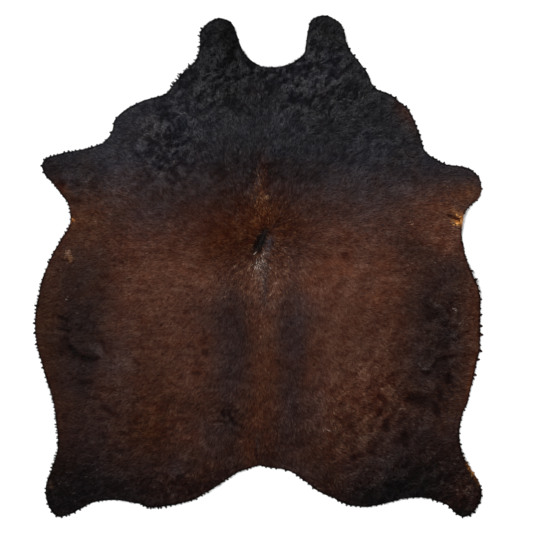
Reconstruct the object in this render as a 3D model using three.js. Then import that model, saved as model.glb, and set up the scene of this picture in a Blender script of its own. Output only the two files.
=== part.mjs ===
// Cowhide rug: one whole tanned hide with the hair left on, lying flat, hair side up.
// Millimetres, +Z up. +Y runs along the spine to the neck, and +X is to the right, seen from above.
// The origin is on the floor, under the middle of the hide's bounding box.
import * as THREE from 'three';

// Driving dimensions
const HIDE_LENGTH = 2200;         // from the neck lobes to the hind shanks, along the spine
const LEATHER_THICKNESS = 2.4;    // tanned skin without its hair
const FLAT_NAP = 3.2;             // hair lying flat on the body
const RIM_THICKNESS = 2.8;        // skin and thin hair at the cut edge
const HAIR_OVERHANG = 3;          // hair tips past the cut edge
const STEPS_PER_LANDMARK = 2;     // edge facets between two landmarks of the outline
const RIPPLE_REACH = 2.2;         // a ripple fades out at this many of its half widths
const HUB = { x: 120, y: 0 };     // every stretch of the edge can be seen from here
const HAIR_COLOUR = '#33231f';

// The cut edge, part by part, counter-clockwise from the tail, in mm from the middle of the hide
const OUTLINE = [
  { part: 'tail notch', at: [[11, -873], [64, -882], [134, -893]] },
  { part: 'right rump', at: [[186, -920], [262, -980], [327, -1012], [405, -1045], [470, -1053], [540, -1043]] },
  { part: 'right hind shank', at: [[690, -1010], [822, -1038], [866, -1076], [901, -1096], [938, -1082],
    [973, -1036], [980, -984], [960, -930], [920, -869]] },
  { part: 'right flank', at: [[892, -809], [883, -730], [898, -648], [918, -600], [962, -405], [974, -350],
    [974, -275], [976, -150], [966, -88], [944, -48], [896, 112]] },
  { part: 'right fore shank', at: [[896, 191], [904, 227], [933, 267], [971, 305], [980, 350], [968, 395],
    [927, 425], [879, 440], [826, 445], [769, 476]] },
  { part: 'right shoulder', at: [[728, 511], [710, 576], [664, 681], [625, 719], [572, 756]] },
  { part: 'right neck', at: [[528, 769], [500, 800], [482, 843], [440, 900], [405, 944]] },
  { part: 'right neck lobe', at: [[388, 988], [375, 1041], [358, 1070], [291, 1098], [241, 1080], [226, 1045],
    [219, 997], [212, 944]] },
  { part: 'neck notch', at: [[188, 912], [116, 875], [20, 875], [-37, 908]] },
  { part: 'left neck lobe', at: [[-76, 971], [-97, 1034], [-119, 1068], [-160, 1086], [-217, 1063], [-247, 1023]] },
  { part: 'left neck', at: [[-251, 951], [-270, 898], [-314, 858], [-372, 786], [-388, 764]] },
  { part: 'left shoulder', at: [[-414, 746], [-502, 724], [-620, 646], [-633, 598], [-660, 550]] },
  { part: 'left fore shank', at: [[-734, 517], [-918, 475], [-941, 436], [-919, 391], [-832, 286]] },
  { part: 'left flank', at: [[-816, 221], [-820, 178], [-855, 121], [-904, 33], [-940, -59], [-959, -151],
    [-973, -261], [-958, -370], [-892, -589], [-877, -695], [-871, -787]] },
  { part: 'left hind shank', at: [[-888, -861], [-918, -940], [-927, -993], [-907, -1059], [-874, -1096],
    [-822, -1085], [-712, -1031]] },
  { part: 'left rump', at: [[-638, -1022], [-515, -1040], [-468, -1056], [-412, -1050], [-327, -1036],
    [-252, -1008], [-90, -905], [-42, -887]] },
];

// Soft ripples that lift the skin off the floor: a crest from one place to another
const RIPPLES = [
  { where: 'left flank, upper arc', from: [-840, -300], to: [-715, -395], halfWidth: 44, height: 7 },
  { where: 'left flank, arc end', from: [-715, -395], to: [-650, -330], halfWidth: 40, height: 5 },
  { where: 'left flank, lower fold', from: [-830, -560], to: [-700, -520], halfWidth: 46, height: 6 },
  { where: 'left flank, rim wave', from: [-965, -160], to: [-850, -130], halfWidth: 52, height: 8 },
  { where: 'right flank, first diagonal', from: [740, -120], to: [890, -300], halfWidth: 44, height: 7 },
  { where: 'right flank, second diagonal', from: [720, -320], to: [880, -490], halfWidth: 44, height: 6 },
  { where: 'right flank, rim wave', from: [965, -70], to: [855, -20], halfWidth: 50, height: 9 },
  { where: 'right armpit pucker', from: [905, 205], to: [790, 250], halfWidth: 42, height: 8 },
  { where: 'left armpit pucker', from: [-820, 215], to: [-720, 240], halfWidth: 42, height: 7 },
  { where: 'right hind shank root', from: [905, -850], to: [790, -900], halfWidth: 48, height: 7 },
  { where: 'left hind shank root', from: [-895, -850], to: [-780, -890], halfWidth: 48, height: 6 },
  { where: 'neck fold, left', from: [-300, 790], to: [-120, 830], halfWidth: 46, height: 5 },
  { where: 'neck fold, right', from: [180, 800], to: [400, 780], halfWidth: 46, height: 6 },
  { where: 'lower right rump', from: [420, -820], to: [620, -760], halfWidth: 50, height: 5 },
];

// Places where the hair stands thicker or thinner than on the body, in mm of extra nap
const NAP_PATCHES = [
  { where: 'curly neck', x: 60, y: 760, radius: 420, extra: 2.2 },
  { where: 'left shoulder', x: -380, y: 560, radius: 330, extra: 1.4 },
  { where: 'right shoulder', x: 480, y: 560, radius: 330, extra: 1.4 },
  { where: 'whorl on the spine', x: 15, y: 60, radius: 150, extra: 1.6 },
  { where: 'curly lower right', x: 560, y: -760, radius: 330, extra: 1.5 },
  { where: 'left fore shank', x: -860, y: 420, radius: 130, extra: -1.0 },
  { where: 'right fore shank', x: 900, y: 360, radius: 130, extra: -1.0 },
  { where: 'left hind shank', x: -850, y: -1020, radius: 150, extra: -1.0 },
  { where: 'right hind shank', x: 900, y: -1010, radius: 150, extra: -1.0 },
];

// Rings of the sheet, as shares of the way from the hub to the edge
const UNDERSIDE_RINGS = [0, 0.5, 0.62, 0.72, 0.8, 0.87, 0.93, 0.98];
const TOP_RINGS = [0.98, 0.94, 0.89, 0.83, 0.77, 0.7, 0.62, 0.53, 0.43, 0.32, 0.2, 0.09, 0];

// Smooth closed curve through the landmarks, pushed out to the hair tips along its own normal,
// then moved and scaled so that its box is centred and HIDE_LENGTH long
function rimCurve() {
  const landmarks = OUTLINE.flatMap(({ at }) => at.map(([x, y]) => new THREE.Vector3(x, y, 0)));
  const curve = new THREE.CatmullRomCurve3(landmarks, true, 'centripetal');
  const steps = landmarks.length * STEPS_PER_LANDMARK;
  const edge = [];
  for (let step = 0; step < steps; step += 1) {
    const along = curve.getTangent(step / steps);
    const outward = new THREE.Vector3(along.y, -along.x, 0);
    edge.push(curve.getPoint(step / steps).addScaledVector(outward, HAIR_OVERHANG));
  }
  const box = new THREE.Box3().setFromPoints(edge);
  const middle = box.getCenter(new THREE.Vector3());
  const scale = HIDE_LENGTH / box.getSize(new THREE.Vector3()).y;
  return edge.map((point) => point.sub(middle).multiplyScalar(scale));
}

// Lift of the skin over the floor: each ripple is a smooth bump across its crest line and at both its ends
function lift(x, y) {
  let height = 0;
  for (const ripple of RIPPLES) {
    const start = new THREE.Vector3(...ripple.from, 0);
    const end = new THREE.Vector3(...ripple.to, 0);
    const place = new THREE.Vector3(x, y, 0);
    const nearest = new THREE.Line3(start, end).closestPointToPoint(place, true, new THREE.Vector3());
    const share = place.distanceTo(nearest) / (ripple.halfWidth * RIPPLE_REACH);
    height += share < 1 ? ripple.height * (1 - share * share) ** 3 : 0;
  }
  return height;
}

// Thickness of skin and flattened hair
function thickness(x, y) {
  let nap = FLAT_NAP;
  for (const patch of NAP_PATCHES) {
    const away = Math.hypot(x - patch.x, y - patch.y) / patch.radius;
    nap += patch.extra * Math.exp(-away * away);
  }
  return LEATHER_THICKNESS + nap;
}

// The whole sheet: a closed disc whose rim is drawn out to the edge and whose faces follow the ripples
function makeHide() {
  const edge = rimCurve();
  const rings = [
    ...UNDERSIDE_RINGS.map((share) => ({ share, side: 'under' })),
    { share: 1, side: 'rim' },
    ...TOP_RINGS.map((share) => ({ share, side: 'top' })),
  ];
  const profile = rings.map(({ share }) => new THREE.Vector2(share, 0));
  const geometry = new THREE.LatheGeometry(profile, edge.length);
  const position = geometry.attributes.position;
  const outerTop = TOP_RINGS[0];
  for (let index = 0; index < position.count; index += 1) {
    const { share, side } = rings[index % rings.length];
    const spoke = edge[Math.floor(index / rings.length) % edge.length];
    const x = HUB.x + (spoke.x - HUB.x) * share;
    const y = HUB.y + (spoke.y - HUB.y) * share;
    const raised = lift(x, y);
    let z = raised;
    if (side === 'rim') z += RIM_THICKNESS / 2;
    if (side === 'top') z += share === outerTop ? RIM_THICKNESS : thickness(x, y);
    position.setXYZ(index, x, y, z);
  }
  geometry.computeVertexNormals();
  return geometry;
}

const rug = new THREE.Group();
rug.name = 'cowhide_rug';

const hide = new THREE.Mesh(
  makeHide(),
  new THREE.MeshStandardMaterial({ color: HAIR_COLOUR, roughness: 0.85, metalness: 0 }),
);
hide.name = 'hide';
rug.add(hide);

export default rug;
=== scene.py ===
"""Cowhide rug: one whole hide with its hair, lying flat, seen from straight above.

Shapes are worked out in millimetres as numpy arrays and put into meshes in metres. +Y is the neck end,
+X the hide's right side seen from above, +Z up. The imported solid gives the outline, the leather lies
inside it, and locks of hair cover the leather and reach just past its cut edge.
"""

import bpy
import numpy as np
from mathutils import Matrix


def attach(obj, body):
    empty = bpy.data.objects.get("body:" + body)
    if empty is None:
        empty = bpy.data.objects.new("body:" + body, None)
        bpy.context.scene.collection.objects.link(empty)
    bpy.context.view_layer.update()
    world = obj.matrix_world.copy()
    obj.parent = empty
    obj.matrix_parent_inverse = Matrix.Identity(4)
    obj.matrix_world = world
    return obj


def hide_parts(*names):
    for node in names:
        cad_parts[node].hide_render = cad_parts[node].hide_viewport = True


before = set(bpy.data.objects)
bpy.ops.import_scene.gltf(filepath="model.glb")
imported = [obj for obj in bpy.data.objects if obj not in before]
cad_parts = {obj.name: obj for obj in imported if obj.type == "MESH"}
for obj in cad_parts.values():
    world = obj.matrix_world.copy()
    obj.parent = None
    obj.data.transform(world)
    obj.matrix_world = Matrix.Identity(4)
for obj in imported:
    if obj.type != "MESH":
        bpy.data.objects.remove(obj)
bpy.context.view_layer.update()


# Measures of the hide, in mm
METRE = 1000.0
HUB = np.array([120.0, 0.0])      # every stretch of the edge can be seen from here
LEATHER = 2.4                     # thickness of the tanned skin
EDGE_INSET = 4.0                  # from the hair tips at the rim back to the cut edge of the leather
STUBBLE = 1.0                     # the dense short under-hair that the locks stand in
LOWEST_TIP = 0.3                  # no lock comes nearer to the floor

# Locks of hair
NECK_LOCKS = 38000                # curly, five triangles each
BODY_LOCKS = 54000                # in each of the four other parts of the coat, three triangles each
RIM_LOCKS = 6400
LOCK_WIDTH = 2.6
SLEEK_LENGTH = 20.0               # of a lock where the coat is sleek
CURLY_SHORTER = 2.0               # how much less a fully curly lock spans
SLEEK_LIFT = 1.2                  # how far the locks rise with the relief where the coat is sleek
CURLY_LIFT = 7.0                  # how much farther they rise where it is fully curly
TUFT = 11.0                       # across a tuft of locks
RIM_LOCK = 10.0                   # from the outline in to where the rim's locks start
TIP_PAST_RIM = 1.5                # where most tips stop, measured inwards from the outline
TEETH = 2.0                       # how far the tufts at the rim poke out beyond that
UNEVEN = 2.5                      # how much the hair's length at the rim wanders
LOCK_TONE = 0.175                 # how much the locks differ in tone from one to the next
TUFT_TONE = 0.095                 # how much whole tufts differ in tone
UNDER_HAIR_SHADE = 0.45                 # how light the under-hair is beside the coat: painted shade under the locks
COAT_GAIN = 1.04                  # brings the dyes to the palette under the studio light
DEEPEN = 0.8                      # how much richer the colour of brown hair is in its painted shade in the gaps, and how much greyer in its painted highlights
WHORL = ((-4.0, 74.0), (33.0, 156.0))   # ends of the slit on the back from which the hair lies away
WHORL_REACH = 120.0               # how far round the whorl it lies straight away from it
LENGTHWISE = 190.0                # how far before and behind the whorl it has turned lengthwise
TO_FLANK = 620.0                  # how far from the spine it runs mostly outwards


# Noise and small helpers

def drift(x, y, size, seed):
    """Smooth noise from -1 to 1: random values on a square lattice of that size, blended by a soft step.
    Each use has a seed of its own."""
    lattice = 256
    values = np.random.default_rng(seed).uniform(-1.0, 1.0, (lattice, lattice))
    u = np.asarray(x) / size
    v = np.asarray(y) / size
    i = np.floor(u).astype(int)
    j = np.floor(v).astype(int)
    a = u - i
    b = v - j
    a = a * a * (3 - 2 * a)
    b = b * b * (3 - 2 * b)
    i0 = i % lattice
    i1 = (i + 1) % lattice
    j0 = j % lattice
    j1 = (j + 1) % lattice
    low = values[i0, j0] * (1 - a) + values[i1, j0] * a
    high = values[i0, j1] * (1 - a) + values[i1, j1] * a
    return low * (1 - b) + high * b


def soft_patch(x, y, row):
    """1 in the middle of a turned ellipse, falling as a bell curve whose spread is the half width one way and
    the half height the other. A higher edge power than 2 gives a flatter middle and a sharper edge."""
    turn = np.radians(row["turn"])
    along = (x - row["x"]) * np.cos(turn) + (y - row["y"]) * np.sin(turn)
    across = -(x - row["x"]) * np.sin(turn) + (y - row["y"]) * np.cos(turn)
    away = (along / row["wide"]) ** 2 + (across / row["tall"]) ** 2
    return np.exp(-0.5 * away ** (0.5 * row.get("edge", 2)))


def smooth(low, high, value):
    """0 below low, 1 above high, and a soft step between."""
    share = np.clip((value - low) / (high - low), 0.0, 1.0)
    return share * share * (3 - 2 * share)


def rows(names, *lines):
    """A table with named columns."""
    return [dict(zip(names.split(), line)) for line in lines]


# Outline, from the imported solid

def spokes_of(node, finer=3):
    """The solid's outline seen from above, as points in order round the hub: on each spoke of the solid the
    farthest point, and then a smooth closed curve through those with some more points between them."""
    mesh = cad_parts[node].data
    flat = np.empty(len(mesh.vertices) * 3, dtype=np.float32)
    mesh.vertices.foreach_get("co", flat)
    away = flat.reshape(-1, 3)[:, :2].astype(float) * METRE - HUB
    reach = np.hypot(away[:, 0], away[:, 1])
    away = away[reach > 40]
    reach = reach[reach > 40]
    angle = np.arctan2(away[:, 1], away[:, 0])
    order = np.argsort(angle)
    starts = np.flatnonzero(np.diff(angle[order], prepend=-9.0) > 2e-4)
    rim = []
    for first, last in zip(starts, np.append(starts[1:], len(order))):
        spoke = order[first:last]
        rim.append(away[spoke[np.argmax(reach[spoke])]])
    rim = np.array(rim) + HUB
    before = np.roll(rim, 1, axis=0)
    after = np.roll(rim, -1, axis=0)
    beyond = np.roll(rim, -2, axis=0)
    steps = []
    for t in np.arange(finer) / finer:
        steps.append(0.5 * (2 * rim + (after - before) * t
                            + (2 * before - 5 * rim + 4 * after - beyond) * t ** 2
                            + (3 * rim - before - 3 * after + beyond) * t ** 3))
    return np.stack(steps, axis=1).reshape(-1, 2)


RIM = spokes_of("hide")


def inward(rim, distance):
    """The outline moved inwards by a distance along its own normal."""
    along = np.roll(rim, -1, axis=0) - np.roll(rim, 1, axis=0)
    along /= np.linalg.norm(along, axis=1)[:, None]
    return rim + distance * np.stack([-along[:, 1], along[:, 0]], axis=1)


def rim_depth_map(cell=5.0, margin=60.0):
    """How far each place of a square grid lies inside the outline, in mm. Outside it the value is
    negative."""
    low = RIM.min(axis=0) - margin
    high = RIM.max(axis=0) + margin
    x = np.arange(low[0], high[0], cell)
    y = np.arange(low[1], high[1], cell)
    grid_x, grid_y = np.meshgrid(x, y, indexing="ij")
    nearest = np.full(grid_x.shape, 1e9)
    inside = np.zeros(grid_x.shape, dtype=bool)
    for start, end in zip(RIM[::3], np.roll(RIM[::3], -1, axis=0)):
        side = end - start
        share = ((grid_x - start[0]) * side[0] + (grid_y - start[1]) * side[1]) / side.dot(side)
        share = np.clip(share, 0.0, 1.0)
        gap = (grid_x - start[0] - share * side[0]) ** 2 + (grid_y - start[1] - share * side[1]) ** 2
        nearest = np.minimum(nearest, gap)
        crosses = (start[1] > grid_y) != (end[1] > grid_y)
        if start[1] != end[1]:
            inside ^= crosses & (grid_x < start[0] + side[0] * (grid_y - start[1]) / side[1])
    return low, cell, np.where(inside, 1.0, -1.0) * np.sqrt(nearest)


DEPTH_LOW, DEPTH_CELL, DEPTHS = rim_depth_map()


def depth(x, y):
    """Distance inside the outline at any place, read from the grid with straight blends."""
    u = np.clip((x - DEPTH_LOW[0]) / DEPTH_CELL, 0, DEPTHS.shape[0] - 1.001)
    v = np.clip((y - DEPTH_LOW[1]) / DEPTH_CELL, 0, DEPTHS.shape[1] - 1.001)
    i = u.astype(int)
    j = v.astype(int)
    a = u - i
    b = v - j
    low = DEPTHS[i, j] * (1 - a) + DEPTHS[i + 1, j] * a
    high = DEPTHS[i, j + 1] * (1 - a) + DEPTHS[i + 1, j + 1] * a
    return low * (1 - b) + high * b


# Ripples and creases

# Soft ripples that lift the skin off the floor, as in the solid: crest ends, half width and height in mm
RIPPLES = rows(
    "x1 y1 x2 y2 half high",
    (-840, -300, -715, -395, 44, 7),    # left flank, upper arc
    (-715, -395, -650, -330, 40, 5),    # left flank, arc end
    (-830, -560, -700, -520, 46, 6),    # left flank, lower fold
    (-965, -160, -850, -130, 52, 8),    # left flank, rim wave
    (740, -120, 890, -300, 44, 7),      # right flank, first diagonal
    (720, -320, 880, -490, 44, 6),      # right flank, second diagonal
    (965, -70, 855, -20, 50, 9),        # right flank, rim wave
    (905, 205, 790, 250, 42, 8),        # right armpit pucker
    (-820, 215, -720, 240, 42, 7),      # left armpit pucker
    (905, -850, 790, -900, 48, 7),      # right hind shank root
    (-895, -850, -780, -890, 48, 6),    # left hind shank root
    (-300, 790, -120, 830, 46, 5),      # neck fold, left
    (180, 800, 400, 780, 46, 6),        # neck fold, right
    (420, -820, 620, -760, 50, 5),      # lower right rump
)
RIPPLE_REACH = 2.2                      # a ripple fades out at this many of its half widths

# Fine ridges and gaps in the hair side, too narrow for the solid: ends, half width and height in mm.
# A gap has a negative height, and the coat is darker in it with painted shade; on a ridge it is lighter with
# a painted highlight. A row without a note goes on with the feature above it.
CREASES = rows(
    "x1 y1 x2 y2 half high",
    (-837, -315, -819, -355, 9, -3.0),   # left flank, dark arc
    (-819, -355, -798, -386, 10, -3.4),
    (-798, -386, -758, -403, 11, -4.0),
    (-758, -403, -706, -403, 11, -3.6),
    (-728, -352, -700, -368, 18, 0.7),   # the lump inside the arc
    (-681, -330, -664, -378, 8, -2.6),   # dark line on the lump's inner side
    (-771, -508, -732, -504, 10, -3.2),  # gaps below the arc
    (-679, -613, -635, -648, 11, -2.6),
    (-872, -274, -826, -284, 6, -4.4),   # thin dark lines near the left rim
    (-872, -219, -838, -236, 6, -4.0),
    (-747, -735, -752, -765, 8, -2.0),   # gap at the left hip
    (-232, -375, -224, -388, 12, -2.6),  # small gaps on the left of the back
    (-268, -425, -258, -434, 10, -2.2),
    (-282, -469, -256, -471, 9, -2.6),
    (-536, -420, -524, -430, 9, -2.2),
    (-156, -636, -130, -632, 6, -4.6),   # loop of curls low in the left band
    (-152, -638, -149, -662, 6, -3.6),
    (-127, -638, -116, -672, 6, -4.2),
    (-116, -672, -103, -698, 6, -3.6),
    (-96, -738, -78, -752, 6, -3.0),     # curl below the loop
    (-10, -800, -6, -845, 5, -4.0),      # slit at the lower end of the spine
    (760, -150, 830, -215, 12, 1.8),     # right flank, wavy ridges
    (830, -215, 880, -255, 12, 0.8),
    (848, -262, 868, -268, 9, -2.4),     # gap at the end of the wavy ridge
    (767, -294, 749, -346, 7, 1.5),      # right flank, hooked ridge
    (749, -346, 785, -377, 7, 1.5),
    (828, -200, 842, -214, 9, -3.4),     # right flank, gaps between the ridges
    (806, -250, 822, -262, 9, -3.0),
    (771, -355, 785, -320, 7, 2.4),      # right flank, bent ridge
    (785, -320, 803, -311, 7, 2.2),
    (802, -408, 868, -390, 8, -3.0),     # right flank, dark crease across
    (720, -464, 752, -467, 8, -3.0),     # right flank, dark sides of a curl
    (770, -438, 786, -405, 8, -3.0),
    (708, -430, 735, -452, 6, 1.8),      # right flank, ridges of that curl
    (735, -452, 766, -430, 6, 1.8),
    (836, -478, 838, -505, 10, -3.6),    # lower right flank, dark gaps
    (798, -550, 800, -582, 11, -3.4),
    (780, -620, 788, -650, 12, -3.2),
    (728, -500, 760, -520, 14, 1.0),     # low ridge on the right hip
    (672, -575, 706, -580, 24, -4.0),    # lower right, broad dark gaps
    (536, -570, 556, -590, 13, -3.0),
    (522, -628, 532, -645, 12, -3.0),
    (560, -682, 566, -712, 12, -4.0),
    (640, -735, 652, -748, 13, -3.4),
    (632, -765, 650, -782, 12, -3.0),
    (418, -842, 452, -822, 11, -3.0),
    (500, -815, 512, -824, 10, -2.6),
    (455, -760, 500, -740, 16, 1.0),     # lower right, low ridges
    (690, -540, 720, -548, 14, 1.0),
    (-438, 574, -425, 508, 10, -4.0),    # black gaps between the curls of the left shoulder
    (-400, 470, -388, 458, 11, -3.6),
    (-451, 440, -420, 425, 10, -3.2),
    (-400, 380, -368, 360, 10, -3.2),
    (-425, 640, -395, 655, 9, -3.0),
    (-330, 560, -345, 530, 9, -2.6),
    (-540, 500, -520, 480, 9, -2.6),
    (405, 448, 418, 462, 11, -2.6),      # dark spots right of the withers and on the back
    (378, 44, 386, 52, 10, -2.6),
    (33, 156, 15, 114, 10, -7.0),        # parting at the whorl
    (15, 114, -4, 74, 11, -7.0),
    (40, 800, 46, 778, 10, -4.2),        # slit behind the neck notch
    (46, 778, 60, 765, 9, -3.6),
    (834, 222, 886, 198, 7, -5.0),       # slit in the right armpit
    (-864, 368, -858, 358, 10, -3.0),    # dark spots above the left armpit
    (-812, 290, -788, 280, 10, -2.6),
    (-350, -924, -328, -920, 7, -5.5),   # gaps in the left rump
    (-236, -868, -212, -905, 8, -2.2),
    (-420, -960, -400, -1000, 9, -2.6),
    (-500, -985, -470, -1000, 9, -2.6),
    (-300, -800, -318, -850, 9, 1.6),    # ridges in the left rump
    (-250, -760, -225, -800, 9, 1.4),
)


def bumps(x, y, table):
    """Height of all the ripples or creases in a table: the cube of one minus the squared share of the way
    from the crest line to where the bump fades out."""
    height = np.zeros(np.shape(x))
    for row in table:
        side_x = row["x2"] - row["x1"]
        side_y = row["y2"] - row["y1"]
        share = ((x - row["x1"]) * side_x + (y - row["y1"]) * side_y) / (side_x ** 2 + side_y ** 2)
        share = np.clip(share, 0.0, 1.0)
        gap = np.hypot(x - row["x1"] - share * side_x, y - row["y1"] - share * side_y)
        fade = np.clip(gap / (row["half"] * RIPPLE_REACH), 0.0, 1.0)
        height += row["high"] * (1 - fade ** 2) ** 3
    return height


def skin_height(x, y):
    """Height of the leather's hair side: the lift of the ripples and the leather's thickness, rising to the
    fine ridges, and dropping towards the floor beyond the cut edge."""
    past_edge = np.clip(EDGE_INSET - depth(x, y), 0.0, None)
    top = bumps(x, y, RIPPLES) + np.maximum(bumps(x, y, CREASES), 0.0) + LEATHER
    return np.maximum(top - 0.3 * past_edge, 0.5)


# Where the hair curls, and how it lies

# Curly patches: middle, half width, half height, turn in degrees and how curly the hair is
CURLS = rows(
    "x y wide tall turn curl",
    (60, 820, 420, 210, 0, 1.0),      # neck
    (-390, 540, 130, 170, 0, 0.95),   # left shoulder
    (480, 540, 230, 160, -20, 0.48),  # right shoulder
    (-120, 420, 300, 120, 0, 0.5),    # withers
    (515, -660, 180, 225, 20, 0.52),  # lower right
    (600, -900, 240, 110, 0, 0.7),    # right rump
    (880, -1000, 90, 90, 0, 0.8),     # right hind shank
    (-880, -1010, 90, 80, 0, 0.6),    # left hind shank
    (800, -280, 90, 190, 0, 0.5),     # right flank creases
    (-790, -330, 90, 110, 0, 0.4),    # left flank creases
    (-300, -960, 420, 80, 0, 0.55),   # left rump
    (-790, 380, 100, 60, 0, 0.45),    # root of the left fore shank
    (-480, -720, 220, 160, 0, 0.4),   # left hip
    (-126, -652, 48, 62, 0, 0.8),     # curl low in the left band
    (20, 80, 130, 150, 0, 0.4),       # round the whorl
)

# Sleeker patches within the curly ones, and the share of the curl that is lost there
SLEEK = rows(
    "x y wide tall turn loss",
    (10, 600, 150, 75, 0, 0.6),    # middle of the neck
    (-600, 600, 90, 110, 0, 0.5),  # outer left shoulder
    (20, 760, 60, 50, 0, 0.5),     # behind the neck notch
)

# Where single locks differ more in tone than elsewhere, and by how much more
STRANDS = rows(
    "x y wide tall turn more",
    (14, 290, 50, 110, 0, 0.9),     # withers before the whorl
    (14, 260, 150, 110, 0, 0.45),   # withers on both sides of the spine
    (-330, 560, 180, 80, 0, 0.35),  # left shoulder
    (-400, -870, 240, 55, 0, 0.6),  # left rump
    (700, -860, 150, 60, 0, 0.6),   # right hip
    (790, -340, 60, 90, 0, 0.5),    # right flank
    (860, 200, 50, 60, 0, 0.8),     # right armpit
    (-690, 400, 110, 60, 0, 0.5),   # root of the left fore shank
)


def curl_at(x, y):
    """How curly the coat is, from 0 for sleek to 1."""
    curl = 0.12 + 0.08 * drift(x, y, 120, 11)
    for row in CURLS:
        curl = np.maximum(curl, row["curl"] * soft_patch(x, y, row))
    for row in SLEEK:
        curl = curl * (1 - row["loss"] * soft_patch(x, y, row))
    return np.clip(curl, 0.0, 1.0)


def relief(x, y, curl):
    """How full the coat stands, from 0 in its gaps to 1: slanting billows some 20 mm wide where it curls
    before the whorl, longer slanting ridges behind it on the right and level ones on the left, and low flat
    tufts, wider than long, where it is sleek."""
    bent_x = x + 10 * drift(x, y, 47, 61)
    bent_y = y + 10 * drift(x, y, 43, 62)
    u = 0.45 * (bent_x + bent_y)
    v = 0.8 * (bent_y - bent_x)
    behind = smooth(150, -150, y)
    level = behind * smooth(150, -150, x)
    slanting = behind - level
    curls = (1 - behind) * drift(u, v, 19, 63) + slanting * drift(0.6 * u, v, 20, 67)
    curls += level * drift(0.5 * bent_x, bent_y, 17, 68)
    curls = smooth(-0.65, 0.65, 0.85 * curls + 0.45 * drift(bent_x, bent_y, 11, 64))
    flat = 0.6 + 0.12 * drift(0.4 * bent_x, bent_y, 17, 65) + 0.12 * drift(0.7 * bent_x, bent_y, 10, 66)
    return flat + (curls - flat) * np.clip(1.25 * curl, 0.0, 1.0)


def lie_at(x, y):
    """Direction in which the hair lies, in radians from +X. It runs out to the flanks everywhere, the more
    the farther from the spine, back towards the rump behind the whorl and up the neck before it, level with
    the whorl straight outwards, and close to the whorl straight away from it. Curly hair swirls."""
    start, end = np.array(WHORL)
    slit = end - start
    share = np.clip(((x - start[0]) * slit[0] + (y - start[1]) * slit[1]) / slit.dot(slit), 0.0, 1.0)
    from_x = x - start[0] - share * slit[0]
    from_y = y - start[1] - share * slit[1]
    lengthwise = np.tanh((y - 0.5 * (start[1] + end[1])) / LENGTHWISE)
    out = (x - 0.5 * (start[0] + end[0])) / TO_FLANK
    go_x = 1.7 * out
    go_y = lengthwise * (0.95 - 0.55 * np.clip(np.abs(out), 0.0, 1.4))
    near = np.hypot(from_x, from_y) + 1.0
    pull = np.exp(-near / WHORL_REACH)
    go_x = go_x * (1 - pull) + pull * from_x / near
    go_y = go_y * (1 - pull) + pull * from_y / near
    curl = curl_at(x, y)
    swirl = 1.3 * drift(x, y, 52, 22) + 1.1 * drift(x, y, 25, 23)
    return np.arctan2(go_y, go_x) + (0.22 * drift(x, y, 170, 21) + curl * swirl)


def tufts_at(x, y, size, seed):
    """The tuft that each place belongs to: cells of a lattice bent by noise. Gives each tuft's middle and
    three values of its own, drawn from a normal curve."""
    lattice = 256
    bend_x = 0.45 * size * drift(x, y, 2.3 * size, seed)
    bend_y = 0.45 * size * drift(x, y, 2.3 * size, seed + 1)
    i = np.floor((x + bend_x) / size).astype(int)
    j = np.floor((y + bend_y) / size).astype(int)
    own = np.random.default_rng(seed + 2).normal(0.0, 1.0, (lattice, lattice, 5))[i % lattice, j % lattice]
    middle = np.stack([(i + 0.5) * size - bend_x, (j + 0.5) * size - bend_y], axis=1)
    return middle + 0.22 * size * own[:, 3:], own[:, :3]


# Colours and markings

PALETTE = {
    "ink": "#0a090a",
    "charcoal": "#2a292c",
    "lobe black": "#1b1a1c",
    "slate": "#38373d",
    "soot": "#2a272b",
    "smoke": "#4c4b50",
    "white ash": "#c4b9b0",
    "umber": "#352b2b",
    "dark umber": "#241918",
    "dust brown": "#473735",
    "dark chestnut": "#402c28",
    "chestnut": "#4e2e23",
    "light chestnut": "#583527",
    "pale chestnut": "#643d2d",
    "saddle brown": "#4d2d20",
    "mahogany": "#4a2a1c",
    "rump brown": "#442416",
    "hip brown": "#361c14",
    "hind brown": "#2b1812",
    "hind black": "#150c0c",
    "band brown": "#2f201f",
    "flank black": "#271a18",
    "hollow brown": "#33221d",
    "russet": "#3d1906",
    "rust": "#5c3019",
    "shank brown": "#563422",
    "gold brown": "#8d5a36",
    "olive brown": "#331f14",
    "fawn": "#a0714e",
    "honey": "#e89f52",
    "light fawn": "#b88a6c",
    "peat": "#22100a",
    "tawny": "#3f1d0b",
    "ash": "#a18c7f",
    "whorl brown": "#634336",
}

# Colour of the back from the neck to the hind edge: y in mm and the colour there
DOWN_THE_BACK = rows(
    "y colour",
    (1100, "charcoal"),
    (550, "charcoal"),
    (440, "soot"),
    (335, "umber"),
    (225, "dark chestnut"),
    (115, "chestnut"),
    (0, "light chestnut"),
    (-100, "light chestnut"),
    (-215, "saddle brown"),
    (-400, "mahogany"),
    (-640, "rump brown"),
    (-765, "hip brown"),
    (-870, "hind brown"),
    (-980, "hind black"),
    (-1100, "hind black"),
)

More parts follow.
